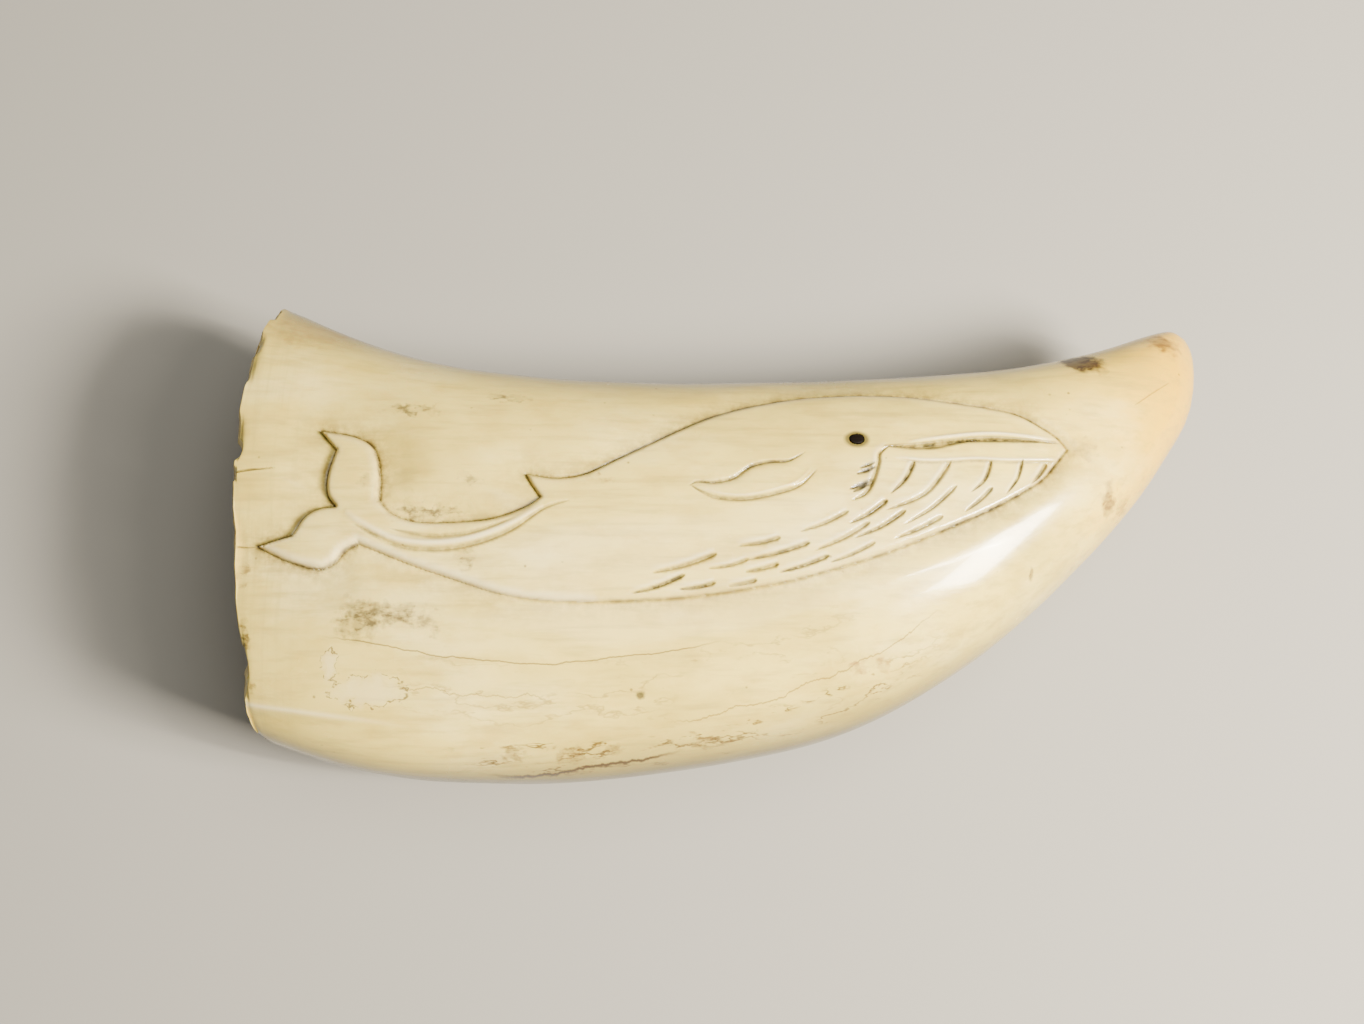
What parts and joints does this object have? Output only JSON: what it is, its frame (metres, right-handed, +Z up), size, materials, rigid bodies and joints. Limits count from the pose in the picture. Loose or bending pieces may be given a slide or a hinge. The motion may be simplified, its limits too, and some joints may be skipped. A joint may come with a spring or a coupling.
{
  "type": "scrimshaw whale tooth",
  "caption": "Curved, flattened whale tooth with an open hollow root, lying on its side, with a swimming whale carved in low relief on its upper face and a small dark inlaid eye.",
  "frame": {"origin": "under the middle of the tooth's box, on the surface that it lies on", "axes": "+X from the open root towards the tip, +Y towards the hollow side of the tooth's bend, +Z up out of the carved face"},
  "size_m": [0.1499, 0.0739, 0.0405],
  "materials": {
    "ivory": "satin",
    "dark_horn": "gloss"
  },
  "bodies": {
    "root": {"tooth": "ivory", "eye_inlay": "dark_horn"}
  },
  "joints": []
}
